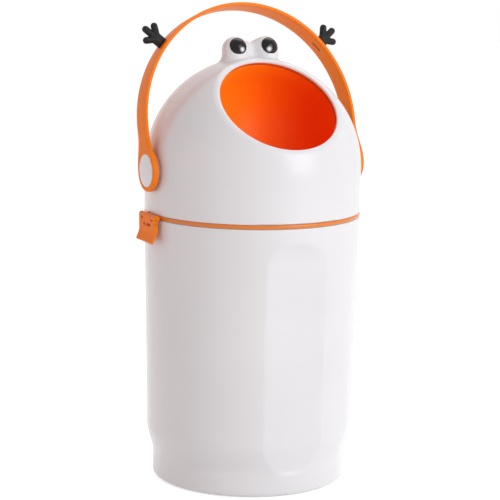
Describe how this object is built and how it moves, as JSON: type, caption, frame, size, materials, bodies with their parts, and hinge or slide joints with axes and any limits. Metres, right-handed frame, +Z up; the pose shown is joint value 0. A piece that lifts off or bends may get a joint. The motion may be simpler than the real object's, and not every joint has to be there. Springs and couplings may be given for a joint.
{
  "type": "nappy bin",
  "caption": "Round nappy bin: a bucket with a hinged domed lid, whose handle turns a ball with a bowl in it, so that the nappy drops inside while the ball keeps the mouth shut.",
  "frame": {"origin": "on the floor, in the middle under the bin; the part's box is centred there to about 1 mm", "axes": "+Z up, -Y towards the mouth and the flat front panel, -X towards the latch, +X towards the hinge"},
  "size_m": [0.2604, 0.24, 0.5291],
  "materials": {
    "white_shell": "satin moulded white plastic",
    "orange_plastic": "satin moulded orange plastic",
    "orange_rubber": "soft, matt orange",
    "black_hands": "matt, fine spark-eroded grain",
    "black_eyes": "polished",
    "grey_plastic": "plain moulded, running surfaces smooth",
    "grey_rubber": "soft, matt",
    "steel": "zinc plated"
  },
  "bodies": {
    "bin": {"bucket": "white_shell", "foot_pads": "grey_rubber", "bag_ring": "orange_plastic", "hinge_bracket": "white_shell", "bracket_screws": "steel", "hinge_pin": "steel"},
    "lid": {"lid_ring": "orange_plastic", "lid_gasket": "grey_rubber", "ring_screws": "steel", "dome": "white_shell", "mouth_seal": "orange_rubber", "eye_left": "black_eyes", "eye_right": "black_eyes", "bush_left": "grey_plastic", "bush_right": "grey_plastic", "latch_pin": "orange_plastic"},
    "drum": {"drum_shell": "orange_plastic", "drum_bowl": "orange_plastic", "hub_left": "grey_plastic", "hub_right": "grey_plastic", "handle": "orange_plastic", "pivot_screws": "steel", "cap_left": "white_shell", "cap_right": "white_shell", "hand_left": "black_hands", "hand_right": "black_hands"},
    "latch": {"latch": "orange_plastic"}
  },
  "joints": [
    {"name": "lid_hinge", "type": "hinge", "parent": "bin", "child": "lid", "pos_m": [0.1238, 0, 0.3005], "axis": [0, 1, 0], "range_deg": [0, 100]},
    {"name": "handle_swing", "type": "hinge", "parent": "lid", "child": "drum", "pos_m": [0, 0, 0.3505], "axis": [1, 0, 0], "range_deg": [0, 140]},
    {"name": "latch_flip", "type": "hinge", "parent": "lid", "child": "latch", "pos_m": [-0.1238, 0, 0.3005], "axis": [0, 1, 0], "range_deg": [0, 75]}
  ]
}
